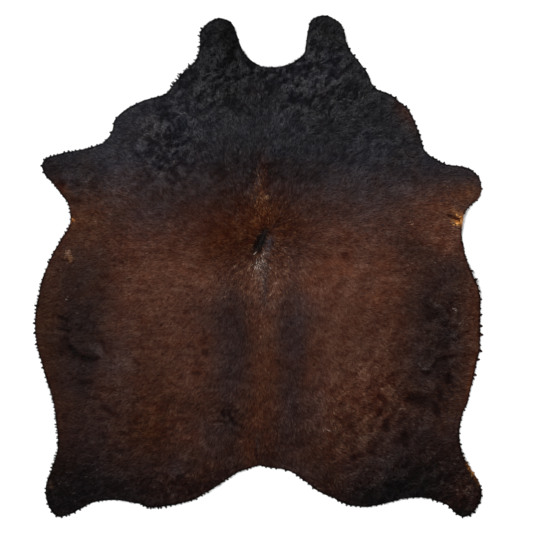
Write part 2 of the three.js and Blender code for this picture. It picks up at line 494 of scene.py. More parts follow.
# Soft patches over that ramp: middle, half width, half height, turn in degrees, colour, strength, and an edge
# power where it isn't 2. They blend in the order of the rows.
MARKINGS = rows(
    "x y wide tall turn colour share edge",
    (44, 775, 70, 60, 0, "ink", 0.5),                  # blackest hair behind the neck notch
    (20, 868, 85, 22, 0, "ink", 0.5),                  # dark edge of the notch
    (-171, 985, 75, 95, 0, "lobe black", 0.6),         # left neck lobe
    (-122, 985, 30, 110, 8, "ink", 0.7),               # inner side of the left neck lobe
    (307, 985, 75, 95, 0, "lobe black", 0.6),          # right neck lobe
    (405, 930, 22, 70, 20, "ink", 0.6),                # outer side of the right neck lobe
    (200, 830, 120, 75, 0, "slate", 0.45),             # greyer right of the notch
    (-490, 520, 140, 100, 0, "slate", 0.75),           # greyer left shoulder
    (30, 620, 120, 65, 0, "slate", 0.4),               # greyer middle of the neck
    (-390, 590, 75, 120, 0, "slate", 0.75),            # curls beside the left shoulder
    (350, 595, 85, 60, 0, "lobe black", 0.6),          # black patch right of the withers
    (654, 672, 35, 60, 30, "light chestnut", 0.4),     # brown rim of the right shoulder
    (20, 412, 230, 50, 0, "dark umber", 0.7, 3),       # dark withers
    (-500, 320, 150, 110, 0, "dust brown", 0.55),      # dusty left shoulder
    (600, 285, 170, 85, 0, "dust brown", 0.5),         # dusty right shoulder
    (-905, 425, 60, 36, 0, "dark umber", 0.7),         # left fore shank
    (0, 175, 185, 130, 0, "russet", 0.9, 3),           # russet saddle before the whorl
    (-140, 75, 115, 75, 0, "russet", 0.85, 3),         # left wing of the saddle
    (-150, 290, 60, 48, 0, "peat", 0.5),               # darkest patch of the left withers
    (-250, 205, 50, 45, 0, "russet", 0.35),            # russet patches behind the left shoulder
    (-330, 265, 28, 34, 0, "peat", 0.3),               # dark patch behind the left shoulder
    (145, 140, 58, 60, 0, "russet", 0.6),              # right wing of the saddle
    (18, 290, 17, 95, 0, "rust", 0.5),                 # reddish streak before the whorl
    (10, 180, 30, 50, 0, "rust", 0.35),                # end of the streak at the whorl
    (20, -40, 60, 75, 0, "whorl brown", 0.15),         # lit hair behind the whorl
    (-118, -330, 76, 270, 0, "band brown", 0.92, 4),   # dark band left of the spine
    (146, -360, 58, 290, 0, "band brown", 0.92, 4),    # dark band right of the spine
    (-122, -700, 38, 70, 0, "flank black", 0.7),       # dark tuft low in the left band
    (140, -700, 48, 90, 0, "band brown", 0.8),         # lower end of the right band
    (14, -560, 26, 170, 0, "mahogany", 0.5),           # warm line down the spine
    (-360, -40, 140, 120, 0, "pale chestnut", 0.55),   # lighter back, left
    (400, -10, 130, 100, 0, "pale chestnut", 0.5),     # lighter back, right
    (490, 130, 90, 80, 0, "pale chestnut", 0.4),       # lighter back behind the right shoulder
    (-298, -420, 55, 120, 0, "chestnut", 0.5),         # lighter loin beside the left band
    (666, 95, 62, 70, 0, "hollow brown", 0.85),        # hollow behind the right shoulder
    (-775, -330, 115, 330, 0, "flank black", 1.0, 3),  # dark left flank
    (775, -340, 145, 330, 0, "flank black", 1.0, 3),   # dark right flank
    (-745, -25, 80, 65, 0, "hollow brown", 0.8),       # upper end of the dark left flank
    (-730, 45, 55, 42, 0, "band brown", 0.55),         # hair above the dark left flank
    (845, -15, 75, 62, 0, "flank black", 0.9),         # upper end of the dark right flank
    (-935, -200, 40, 210, 0, "olive brown", 0.8),      # olive rim of the left flank
    (944, -200, 38, 250, 0, "mahogany", 0.6),          # brown rim of the right flank
    (932, -500, 28, 90, 0, "saddle brown", 0.6),       # lower end of the brown rim
    (927, -500, 9, 95, -13, "rust", 0.8),              # rusty line on the right rim
    (380, -480, 110, 170, 0, "light chestnut", 0.5),   # warm right loin
    (462, -545, 50, 66, 0, "pale chestnut", 0.8),      # outer end of the warm right loin
    (488, -880, 75, 45, 0, "dust brown", 0.75),        # greyer edge of the right rump
    (590, -800, 60, 70, 0, "dust brown", 0.35),        # greyer right hip
    (140, -895, 60, 30, 0, "dust brown", 0.35),        # greyer hair beside the tail notch
    (666, -718, 60, 60, 0, "umber", 0.4),              # mauve right hip
    (-212, -718, 45, 50, 0, "dust brown", 0.4),        # mauve hair left of the left band
    (175, -190, 75, 60, 0, "dust brown", 0.45),        # mauve upper end of the right band
    (-605, -450, 60, 140, 0, "dust brown", 0.5),       # mauve hair inside the left flank
    (315, -368, 55, 85, 0, "hollow brown", 0.2),       # darker right of the right band
    (22, -225, 34, 85, 0, "whorl brown", 0.3),         # lighter down the spine
    (256, -620, 40, 120, 0, "dust brown", 0.45),       # mauve along the right band
    (306, -190, 40, 60, 0, "pale chestnut", 0.35),     # lighter hair beyond the right band's upper end
    (-295, -725, 40, 45, 0, "chestnut", 0.3),          # lighter left of the curl
    (125, 60, 65, 50, 0, "dust brown", 0.2),           # mauve right of the whorl
    (-386, 508, 45, 50, 0, "smoke", 0.3),              # grey curls beside the left shoulder
    (150, 850, 65, 55, 0, "slate", 0.7),               # greyer right of the neck notch
    (315, 850, 60, 60, 0, "slate", 0.5),               # greyer right of the neck
    (-561, 333, 60, 50, 0, "dust brown", 0.4),         # lighter root of the left shank
    (750, -518, 38, 32, 0, "hind brown", 0.65),        # darker crest on the right flank
    (841, -719, 45, 45, 0, "umber", 0.35),             # greyer rim below the right flank
    (485, -280, 60, 130, 0, "dark chestnut", 0.15),    # duller back inside the right flank
    (-386, -715, 42, 45, 0, "mahogany", 0.6),          # redder left rump
    (-35, 684, 45, 40, 0, "lobe black", 0.4),          # darker middle of the neck
    (-500, 690, 130, 50, 0, "slate", 0.3),             # greyer rim of the left shoulder
    (500, 500, 110, 60, 0, "slate", 0.3),              # greyer rim of the right shoulder
    (-300, -370, 110, 70, 0, "light chestnut", 0.4),   # lighter loin on the left
    (-235, -195, 50, 60, 0, "band brown", 0.35),       # upper end of the left band
    (-35, -520, 30, 70, 0, "band brown", 0.3),         # inner edge of the left band
    (140, -720, 45, 50, 0, "hind brown", 0.5),         # browner end of the right band
    (-760, -700, 60, 60, 0, "hind brown", 0.3),        # lower left flank
    (330, -650, 75, 130, 0, "saddle brown", 0.6, 3),   # warm edge of the right band
    (360, -780, 130, 80, 0, "rump brown", 0.5),        # warm right rump
    (-325, -770, 60, 80, 0, "chestnut", 0.5),          # lighter left rump
    (-610, -770, 110, 110, 0, "dust brown", 0.35),     # greyer left hip
    (-400, -880, 200, 70, 0, "dark chestnut", 0.25),   # warmer hair below the left hip
    (-475, -725, 85, 80, 0, "tawny", 0.85),            # tawny left rump
    (-300, -955, 110, 60, 0, "hip brown", 0.7),        # brown edge of the left rump
    (-38, -800, 26, 60, 0, "rust", 0.3),               # golden end of the line down the spine
    (754, -324, 45, 60, 0, "olive brown", 0.3),        # warmer middle of the right flank
    (841, -368, 35, 45, 0, "saddle brown", 0.15),      # warmer outer side of the right flank
    (820, -316, 26, 30, 0, "umber", 0.45),             # lighter curls on the right flank
    (92, 48, 32, 26, 0, "pale chestnut", 0.35),        # lighter hair right of the whorl
    (-212, -545, 40, 50, 0, "band brown", 0.25),       # outer side of the left band
    (-205, -890, 50, 35, 0, "rump brown", 0.4),        # warmer edge of the left rump
    (110, 325, 100, 40, 0, "russet", 0.15),            # warmer withers on the right
    (-736, 158, 50, 40, 0, "pale chestnut", 0.2),      # lighter hair below the left armpit
    (491, 115, 60, 110, 0, "dust brown", 0.15),        # duller back behind the right shoulder
    (-649, -324, 45, 50, 0, "dark umber", 0.28),       # darker inner side of the left flank
    (-708, -365, 26, 30, 0, "umber", 0.4),             # mauve lump on the left flank
    (-345, -885, 26, 30, 0, "umber", 0.55),            # mauve tuft above the left rump's edge
    (310, -965, 90, 50, 0, "hip brown", 0.7),          # brown edge of the right rump
    (700, -880, 170, 120, 0, "hind black", 0.8),       # dark right hip
    (690, -960, 150, 70, 0, "ink", 0.6),               # black edge under the right hip
    (-790, -930, 150, 110, 0, "hind black", 0.8),      # dark left hind shank
    (-800, -1010, 120, 60, 0, "ink", 0.45),            # black edge under the left hind shank
    (520, -1020, 110, 40, 0, "ink", 0.5),              # black edge of the right rump
    (890, -1000, 65, 60, 0, "hip brown", 0.6),         # reddish right hind shank
    (890, -1088, 90, 18, 0, "ink", 0.7),               # black rim under the right hind shank
    (900, 322, 68, 48, 0, "shank brown", 0.85, 3),     # right fore shank
    (895, 412, 100, 42, 0, "umber", 0.85),             # dark upper edge of the right fore shank
    (760, 232, 90, 70, 0, "pale chestnut", 0.8),       # light root of the right fore shank
    (840, 140, 70, 62, 0, "pale chestnut", 0.85),      # light hair under the right fore shank
    (862, 230, 30, 10, -25, "gold brown", 0.8),        # golden hair above the slit in the right armpit
    (870, 189, 26, 7, -18, "honey", 1.0, 3),           # golden hair below the slit
    (893, 202, 9, 18, 0, "honey", 1.0, 3),             # golden hair at the rim of the right armpit
    (-755, 200, 90, 85, 0, "shank brown", 0.8),        # left armpit
    (-846, 330, 16, 40, 40, "rust", 0.65),             # rusty rim of the left fore shank
    (-800, 195, 7, 4, 10, "honey", 0.9, 3),            # bright spot in the left armpit
    (-822, 57, 7, 9, 0, "light fawn", 0.95, 4),        # tan spot on the left flank, upper half
    (-811, 32, 6, 11, 10, "fawn", 0.95, 4),            # lower half of the tan spot
    (938, -900, 8, 36, 28, "honey", 0.5),              # tan rim of the right hind shank
    (-902, -960, 8, 9, 0, "fawn", 0.1),                # tan fleck on the left hind shank
    (18, 18, 8, 36, -16, "ash", 0.25),                 # grey hairs behind the whorl
    (28, -62, 12, 75, 0, "umber", 0.75),               # dark strip down from the whorl
    (13, 114, 15, 50, -25, "ink", 1.0, 4),             # dark parting at the whorl
    (43, 98, 8, 26, -18, "smoke", 0.85),               # grey hair right of the parting
)

# Locks of another colour scattered in the coat: patch, colour, the chance that a lock there takes it and its
# share in that lock. The draws follow the order of the rows.
ODD_HAIRS = rows(
    "x y wide tall turn colour chance share",
    (16, 290, 18, 66, 0, "gold brown", 0.24, 0.5),     # flame on the withers
    (16, -150, 6, 120, 0, "light fawn", 0.14, 0.4),    # golden line down the spine
    (12, 200, 50, 50, 0, "rust", 0.15, 0.5),           # roots of the flame round the whorl
    (-1, -780, 4, 26, 0, "smoke", 0.4, 0.5),           # grey line beside the slit low on the spine
    (-75, 215, 45, 50, 0, "whorl brown", 0.15, 0.5),   # mauve strands left of the flame
    (-60, -30, 55, 60, 0, "fawn", 0.09, 0.35),         # golden strands behind the whorl, left
    (80, -30, 50, 90, 0, "fawn", 0.09, 0.35),          # golden strands behind the whorl, right
    (85, 62, 32, 20, -15, "fawn", 0.1, 0.4),           # strands curving right of the whorl
    (-2, 18, 8, 22, -20, "white ash", 0.25, 0.7),      # white hairs at the whorl's lower end
    (24, 52, 7, 18, 0, "ash", 0.24, 0.5),              # grey hairs beside the white ones
    (20, -50, 14, 75, 0, "ash", 0.06, 0.45),           # grey hairs down the spine
    (874, 208, 20, 14, 0, "honey", 0.35, 0.9),         # right armpit
    (900, 305, 45, 28, 0, "gold brown", 0.12, 0.45),   # right fore shank
    (-790, 215, 40, 40, 0, "rust", 0.2, 0.6),          # left armpit
    (-765, 185, 50, 24, 0, "gold brown", 0.07, 0.35),  # gold strands below the left armpit
    (-815, 42, 8, 14, 0, "fawn", 0.15, 0.7),           # tan spot on the left flank
    (937, -900, 8, 36, 28, "honey", 0.35, 0.5),        # rim of the right hind shank
    (845, -590, 40, 60, 0, "shank brown", 0.25, 0.5),  # straight hair at the right rim
    (-850, -965, 60, 45, 0, "ash", 0.015, 0.2),        # left hind shank
    (-420, 620, 260, 160, 0, "slate", 0.12, 1.0),      # grey glints in the left shoulder and neck
    (330, 700, 260, 220, 0, "slate", 0.10, 1.0),       # grey glints in the right of the neck
    (-824, -140, 3, 5, -30, "white ash", 0.6, 0.35),   # pale flecks on the left flank
    (-780, -206, 4, 4, 0, "ash", 0.7, 0.3),
    (-755, -440, 4, 4, 0, "ash", 0.7, 0.3),
    (850, -184, 3, 6, 0, "white ash", 0.6, 0.5),       # pale fleck on the right flank
    (289, -710, 6, 3, -20, "ash", 0.6, 0.5),           # pale fleck on the right rump
    (-381, 153, 4, 4, 0, "ash", 0.7, 0.3),             # pale fleck on the left of the back
    (664, 184, 8, 3, -35, "light fawn", 0.8, 0.6),     # pale fleck behind the right shoulder
    (-798, 193, 8, 4, 0, "light fawn", 0.5, 0.6),      # pale fleck in the left armpit
    (-907, -1000, 3, 3, 0, "white ash", 0.5, 0.6),     # pale flecks on the left hind shank
    (-898, -1027, 3, 3, 0, "white ash", 0.5, 0.6),
    (-789, -1023, 2, 3, 0, "ash", 0.5, 0.4),
    (-836, -955, 4, 2, 0, "ash", 0.5, 0.4),
)


def linear(code):
    """An sRGB hex colour as linear red, green and blue."""
    channels = np.array([int(code[i:i + 2], 16) for i in (1, 3, 5)]) / 255.0
    return np.where(channels <= 0.04045, channels / 12.92, ((channels + 0.055) / 1.055) ** 2.4)


def dye_at(x, y):
    """Colour of the coat: the ramp down the back, then each marking blended over it with a ragged edge, and
    at last a drift from cool to warm: where it is warm, green and above all blue are less."""
    stops = np.array([row["y"] for row in DOWN_THE_BACK][::-1], dtype=float)
    shades = np.array([linear(PALETTE[row["colour"]]) for row in DOWN_THE_BACK][::-1])
    wander = y + 40 * drift(x, y, 160, 31) + 18 * drift(x, y, 45, 32)
    colour = np.stack([np.interp(wander, stops, shades[:, k]) for k in range(3)], axis=-1)
    ragged = 1 + 0.15 * drift(x, y, 38, 33)
    for row in MARKINGS:
        cover = np.clip(row["share"] * soft_patch(x, y, row) * ragged, 0.0, 1.0)[..., None]
        colour = colour * (1 - cover) + linear(PALETTE[row["colour"]]) * cover
    warm = 0.7 * drift(x, y, 150, 34) + 0.75 * drift(x, y, 62, 35)
    warm += 0.7 * drift(0.6 * x, y, 24, 36) + 0.6 * drift(0.6 * x, y, 10, 39)
    brown = smooth(550, 350, y)
    warm = np.maximum(warm * (0.4 + 0.6 * brown) - 0.4 * brown, -0.7)
    deep = 0.14 * drift(x, y, 75, 37) + (0.1 + 0.12 * smooth(-450, -620, y)) * drift(0.7 * x, y, 26, 38)
    tint = np.exp(np.stack([deep, deep - 0.13 * warm, deep - 0.25 * warm], axis=-1))
    return colour * tint * COAT_GAIN


def lit(dye_and_shade, light):
    """A hair colour under less or more light than the middle of the coat: painted light and shade. The light
    that comes out of a gap has passed more hair, so the colours that the pigment takes away fade first, and
    bright hair turns greyer, a painted sheen."""
    return dye_and_shade * light[:, None] ** (1 + DEEPEN * (1 - dye_and_shade / dye_and_shade.max(axis=1, keepdims=True)))


def odd_hairs(x, y, dye_and_shade, rng):
    """Some locks take the colour of a patch of odd hairs."""
    for row in ODD_HAIRS:
        take = rng.random(len(x)) < row["chance"] * soft_patch(x, y, row)
        cover = (take * row["share"])[:, None]
        dye_and_shade = dye_and_shade * (1 - cover) + linear(PALETTE[row["colour"]]) * cover
    return dye_and_shade


# Places at the rim where pale hair takes the place of its dark line of under-fur and painted shade
PALE_RIMS = rows(
    "x y wide tall turn",
    (930, -898, 22, 52, 28),  # right hind shank
    (885, 196, 26, 22, 0),    # right armpit
    (968, 300, 20, 50, 0),    # tip of the right fore shank
    (-814, 184, 7, 9, 0),     # left armpit
)


def rim_light(x, y):
    """How light the coat is towards the rim, where it is thin and its locks turn down: 1 inside, little at
    the edge. The dark line is partly the dark under-fur of the cut edge and partly painted shade."""
    pale = np.zeros(np.shape(x))
    for row in PALE_RIMS:
        pale = np.maximum(pale, soft_patch(x, y, row))
    light = smooth(3.5, 12.0, depth(x, y))
    return np.maximum(0.12 + 0.88 * light, 0.85 * pale)


# Meshes

def make_mesh(name, points, faces, materials, face_material=None, dye_and_shade=None, along=None):
    """A piece from points in mm, faces as rows of point numbers (-1 ends a triangle in a table of quads),
    a colour and a root-to-tip share at each point, and its own map: the view from above scaled to fill
    0 to 1, with the faces of each material side by side."""
    corners_used = faces >= 0
    loops = faces[corners_used]
    counts = corners_used.sum(axis=1)
    mesh = bpy.data.meshes.new(name)
    mesh.vertices.add(len(points))
    mesh.vertices.foreach_set("co", (points / METRE).astype(np.float32).ravel())
    mesh.loops.add(len(loops))
    mesh.loops.foreach_set("vertex_index", loops.astype(np.int32))
    mesh.polygons.add(len(counts))
    starts = np.concatenate([[0], np.cumsum(counts)[:-1]])
    mesh.polygons.foreach_set("loop_start", starts.astype(np.int32))
    mesh.polygons.foreach_set("loop_total", counts.astype(np.int32))
    for material in materials:
        mesh.materials.append(material)
    if face_material is not None:
        mesh.polygons.foreach_set("material_index", face_material.astype(np.int32))
    mesh.update(calc_edges=True)
    mesh.polygons.foreach_set("use_smooth", np.ones(len(counts), dtype=bool))
    # each point's colour, with its painted light and shade
    if dye_and_shade is not None:
        colour = np.ones((len(points), 4), dtype=np.float32)
        colour[:, :3] = dye_and_shade
        dyes = mesh.attributes.new("dye_and_shade", "FLOAT_COLOR", "POINT")
        dyes.data.foreach_set("color", colour.ravel())
    if along is not None:
        shares = mesh.attributes.new("along", "FLOAT", "POINT")
        shares.data.foreach_set("value", along.astype(np.float32))
    low = points[:, :2].min(axis=0)
    size = points[:, :2].max(axis=0) - low
    places = (points[loops][:, :2] - low) / size
    if face_material is not None:
        places[:, 0] = (places[:, 0] + np.repeat(face_material, counts)) / len(materials)
    mesh.uv_layers.new(name="OFBake").data.foreach_set("uv", places.astype(np.float32).ravel())
    piece = bpy.data.objects.new(name, mesh)
    bpy.context.scene.collection.objects.link(piece)
    return piece


def ring_faces(spokes, rings):
    """Quads between neighbouring rings of a closed grid of spokes, outwards facing when the rings run from
    the hub of the underside over the rim to the hub of the top."""
    here = np.arange(spokes)
    after = (here + 1) % spokes
    quads = []
    for ring in range(rings - 1):
        low = ring * spokes
        high = (ring + 1) * spokes
        quads.append(np.stack([low + here, low + after, high + after, high + here], axis=1))
    return np.concatenate(quads)


# Rings of the skin as shares of the way from the hub to the cut edge, and the rounded edge itself as shares
# of that way and of the thickness
SKIN_RINGS = [*np.linspace(0.03, 0.9, 30), 0.93, 0.955, 0.975, 0.99]
CUT_EDGE = ((0.999, 0.25), (1.0, 0.6), (0.999, 0.92))


def make_leather(hair_side, flesh_side):
    """The skin: rings from the hub out to the cut edge, below and above, closed at the hub by two fans.
    The underside lies at the ripples' lift, and the hair side one thickness higher."""
    edge = inward(RIM, EDGE_INSET)
    spokes = len(edge)
    levels = [(share, 0.0) for share in SKIN_RINGS]
    levels += [(share, part * LEATHER) for share, part in CUT_EDGE]
    levels += [(share, LEATHER) for share in SKIN_RINGS[::-1]]
    points = []
    for share, thick in levels:
        place = HUB + (edge - HUB) * share
        lift = bumps(place[:, 0], place[:, 1], RIPPLES)
        crease = np.maximum(bumps(place[:, 0], place[:, 1], CREASES), 0.0) * (thick / LEATHER)
        points.append(np.column_stack([place, lift + crease + thick]))
    points.append([[HUB[0], HUB[1], 0.0], [HUB[0], HUB[1], LEATHER]])
    points = np.concatenate(points)
    faces = ring_faces(spokes, len(levels))
    here = np.arange(spokes)
    after = (here + 1) % spokes
    top = (len(levels) - 1) * spokes
    below = np.column_stack([np.full(spokes, len(points) - 2), after, here, np.full(spokes, -1)])
    above = np.column_stack([np.full(spokes, len(points) - 1), top + here, top + after, np.full(spokes, -1)])
    faces = np.concatenate([faces, below, above])
    flesh = np.arange(len(faces)) < spokes * (len(SKIN_RINGS) + 1)
    flesh[-2 * spokes:-spokes] = True
    # painted shade under the locks: the skin's hair side takes the coat's colour, darkened
    dye_and_shade = UNDER_HAIR_SHADE * dye_at(points[:, 0], points[:, 1])
    return make_mesh("hide_leather", points, faces, [hair_side, flesh_side], flesh.astype(int), dye_and_shade)


def scatter(count, region, seed):
    """Root places, evenly spread with some jitter over the part of the leather that the region function
    takes. The pitch of their lattice is corrected until their number is right."""
    rng = np.random.default_rng(seed)
    low = RIM.min(axis=0)
    high = RIM.max(axis=0)
    pitch = 4.0
    for _ in range(4):
        x, y = np.meshgrid(np.arange(low[0], high[0], pitch), np.arange(low[1], high[1], pitch))
        x = (x + rng.uniform(-0.6, 0.6, x.shape) * pitch).ravel()
        y = (y + rng.uniform(-0.6, 0.6, y.shape) * pitch).ravel()
        keep = (depth(x, y) > EDGE_INSET + 0.5) & region(x, y)
        if abs(keep.sum() / count - 1) < 0.003:
            break
        pitch *= np.sqrt(keep.sum() / count)
    return x[keep][:count], y[keep][:count]


def strands_at(x, y):
    """How strongly single locks and tufts stand out in tone, 1 on most of the back: more round the whorl,
    behind it on the right, on the neck, on the hind shanks and at the hind edge."""
    away = np.hypot(x - 20, y - 60)
    strands = 1 + 1.2 * np.exp(-away / 130)
    strands += 0.55 * smooth(450, 800, away) * smooth(250, 0, y) * smooth(-300, 200, x)
    strands += 0.55 * smooth(450, 600, y)
    shanks = smooth(-780, -900, y) * smooth(550, 700, np.abs(x))
    return strands + 1.2 * np.maximum(shanks, smooth(-880, -960, y))


def lock_tones(x, y, tuft, rng):
    """Lightness of each lock: a random part of its own and a part that it shares with its tuft. Where the
    table makes the locks differ more, all are a little darker, so that the coat keeps its mean light."""
    strands = strands_at(x, y)
    more = sum(row["more"] * soft_patch(x, y, row) for row in STRANDS)
    even = 0.5 * LOCK_TONE ** 2 * more * (more + 2 * strands)
    own = rng.normal(0.0, LOCK_TONE, len(x)) * (strands + more)
    return np.exp(own + TUFT_TONE * tuft * strands - even)


def lock_faces(count, strip):
    """Faces of many equal locks from the faces of one, in which -1 ends a triangle."""
    start = (np.arange(count) * (strip.max() + 1))[:, None, None]
    return np.where(strip >= 0, strip + start, -1).reshape(-1, 4)


def lift_and_light(place, curl, arch, t):
    """Height of the locks' cross-sections at a share t of their length, and how light the coat is there,
    which is painted light:
    high and lit with a painted highlight where it stands full and towards the tips, low and dark with painted
    shade in its gaps and at the roots."""
    x, y = place.T
    full = relief(x, y, curl)
    gap = bumps(x, y, CREASES)
    lift = (SLEEK_LIFT + CURLY_LIFT * curl) * full * min(3 * t, 1.0)
    lift += arch * np.sin(np.pi * min(0.08 + 0.78 * t, 1.0))
    lift = STUBBLE * 0.4 + lift * np.exp(np.minimum(0.4 * gap, 0.0))
    # painted shade in the relief's gaps, in the creases and at the roots; painted highlight on full tufts, on
    # ridges and towards the tips
    light = (0.45 + 0.8 * t) * (0.22 + 1.32 * full) * np.exp(np.clip(0.36 * gap, -1.5, 0.6))
    return skin_height(x, y) + lift, light * rim_light(x, y)


def make_coat(name, count, region, levels, seed, material):
    """Locks of hair over one part of the hide. Each lock is a tapered strip lying on the skin: it starts at
    its root, follows the lie of the coat while turning by its curl, gathers towards the middle of its tuft,
    rises in an arc over the relief of the coat, and is rolled about its length."""
    rng = np.random.default_rng(seed)
    x, y = scatter(count, region, seed)
    total = len(x)
    curl = curl_at(x, y)
    inside = depth(x, y)
    middle, tuft = tufts_at(x, y, TUFT, 41)
    gather = 0.3 + 0.25 * curl
    angle = lie_at(x, y) + rng.normal(0.0, 0.12 + 0.2 * curl, total) + tuft[:, 0] * (0.08 + 0.3 * curl)
    bend = rng.normal(0.0, 0.25 + 0.5 * curl, total) + tuft[:, 1] * (0.1 + 0.6 * curl)
    length = (SLEEK_LENGTH - CURLY_SHORTER * curl) * rng.uniform(0.75, 1.2, total)
    reach = depth(x + length * np.cos(angle), y + length * np.sin(angle))
    allowed = TIP_PAST_RIM - TEETH * smooth(0.6, 1.3, np.abs(tuft[:, 2]))
    allowed -= 0.8 * UNEVEN * drift(x, y, 30, 51)
    length *= np.clip((inside - allowed) / np.maximum(inside - reach, 1.0), 0.25, 1.0)
    arch = (1.5 + 1.5 * curl) * rng.uniform(0.4, 1.5, total)
    width = LOCK_WIDTH * rng.uniform(0.6, 1.35, total)
    roll = rng.normal(0.0, 0.4, total)
    tone = lock_tones(x, y, tuft[:, 2], rng)
    dye_and_shade = dye_at(x + rng.normal(0, 5, total), y + rng.normal(0, 5, total))
    dye_and_shade = odd_hairs(x, y, dye_and_shade, rng)

    steps = np.linspace(0.0, 1.0, levels)
    place = np.stack([x, y], axis=1)
    to_middle = middle - place
    sides = []
    alongs = []
    shades = []
    for k, t in enumerate(steps):
        heading = angle + bend * t
        if k:
            turned = angle + bend * (t + steps[k - 1]) / 2
            move = length * (t - steps[k - 1])
            place = place + move[:, None] * np.stack([np.cos(turned), np.sin(turned)], axis=1)
            place = place + to_middle * (gather * (t - steps[k - 1]))[:, None]
        height, light = lift_and_light(place, curl, arch, t)
        half = 0.5 * width * (0.75 + 0.9 * t - t * t)
        lying = np.cos(roll)
        across = np.stack([-np.sin(heading) * lying, np.cos(heading) * lying, np.sin(roll)], axis=1)
        centre = np.column_stack([place, height])
        for side in (1, -1) if k < levels - 1 else (0,):
            sides.append(centre + side * across * half[:, None])
            alongs.append(np.full(total, t))
            # the lock's colour with painted shade in the gaps and at the roots, and painted highlights on
            # full tufts, ridges and tips
            shades.append(lit(dye_and_shade, tone * light))
    per_lock = len(sides)
    points = np.stack(sides, axis=1).reshape(-1, 3)
    points[:, 2] = np.maximum(points[:, 2], LOWEST_TIP)
    strip = [[2 * k + 1, 2 * k + 3, 2 * k + 2, 2 * k] for k in range(levels - 2)]
    strip.append([per_lock - 2, per_lock - 1, per_lock - 3, -1])
    return make_mesh(
        name, points, lock_faces(total, np.array(strip)), [material],
        dye_and_shade=np.stack(shades, axis=1).reshape(-1, 3), along=np.stack(alongs, axis=1).ravel(),
    )


# The rim: how far apart its tufts stand, how long they are and their half width, in mm, between the patches
# of the table and in them
PLAIN_TUFTS = {"pitch": 22.0, "long": 6.0, "half": 5.0}
RIM_TUFTS = rows(
    "x y wide tall turn pitch long half",
    (-290, 900, 110, 150, 0, 12, 16.0, 3.8),  # outer left neck
    (420, 900, 90, 200, 0, 40, 8.0, 6.0),     # outer right neck
    (560, 740, 90, 60, 0, 36, 8.0, 6.0),      # right shoulder
    (650, 630, 60, 80, 0, 30, 6.0, 6.0),      # lower right shoulder
    (-610, 640, 90, 90, 0, 30, 6.5, 6.0),     # left shoulder
    (-480, 740, 80, 40, 0, 36, 3.5, 6.0),     # upper left shoulder
    (-160, 1080, 70, 60, 0, 30, 3.0, 6.0),    # left lobe
    (300, 1090, 70, 60, 0, 30, 4.0, 6.0),     # right lobe
    (70, 900, 150, 110, 0, 30, 0.5, 6.0),     # smooth neck notch
    (-960, -190, 60, 170, 0, 18, 8.0, 6.0),   # upper left flank
    (-860, -690, 60, 200, 0, 13, 8.0, 3.6),   # fine teeth of the lower left flank
    (915, 70, 60, 100, 0, 30, 3.0, 6.0),      # smooth rim under the right armpit
    (970, -100, 60, 60, 0, 34, 15.0, 8.0),    # top of the right flank
    (970, -270, 60, 200, 0, 32, 10.5, 8.0),   # right flank
    (890, -650, 60, 120, 0, 24, 7.0, 5.0),    # lower right flank
    (920, -1000, 80, 120, 0, 26, 8.0, 6.0),   # right hind shank
    (-450, -1045, 50, 30, 0, 17, 8.0, 5.0),   # hanging tufts of the left rump
)


def rim_tufts(length, at):
    """Tufts along the edge: where each stands, how long it is, how it leans and its half width."""
    rng = np.random.default_rng(7)
    tufts = []
    where = 0.0
    while where < length - 15:
        tuft = dict(PLAIN_TUFTS)
        for row in RIM_TUFTS:
            near = min(1.6 * soft_patch(*at(where), row), 1.0)
            for key in tuft:
                tuft[key] += (row[key] - tuft[key]) * near
        size = rng.uniform(0.4, 1.35)
        lean = rng.normal(0.0, 1.0) * tuft["long"] * 0.3
        tufts.append((where, tuft["long"] * size, lean, tuft["half"] * (0.6 + 0.4 * size)))
        where += tuft["pitch"] * rng.uniform(0.55, 1.45)
    return np.array(tufts)


# Cross-sections of a rim lock from root to tip: how far along it, the share of its half width, the height in
# mm and how light it is there, which is painted light: lighter at the raised root, in painted shade at the
# tip that bends down to the floor
RIM_SECTIONS = rows(
    "along half high light",
    (0.0, 1.0, 3.6, 1.6),
    (0.6, 1.0, 3.2, 1.1),
    (1.0, 0.45, 1.0, 0.8),
)


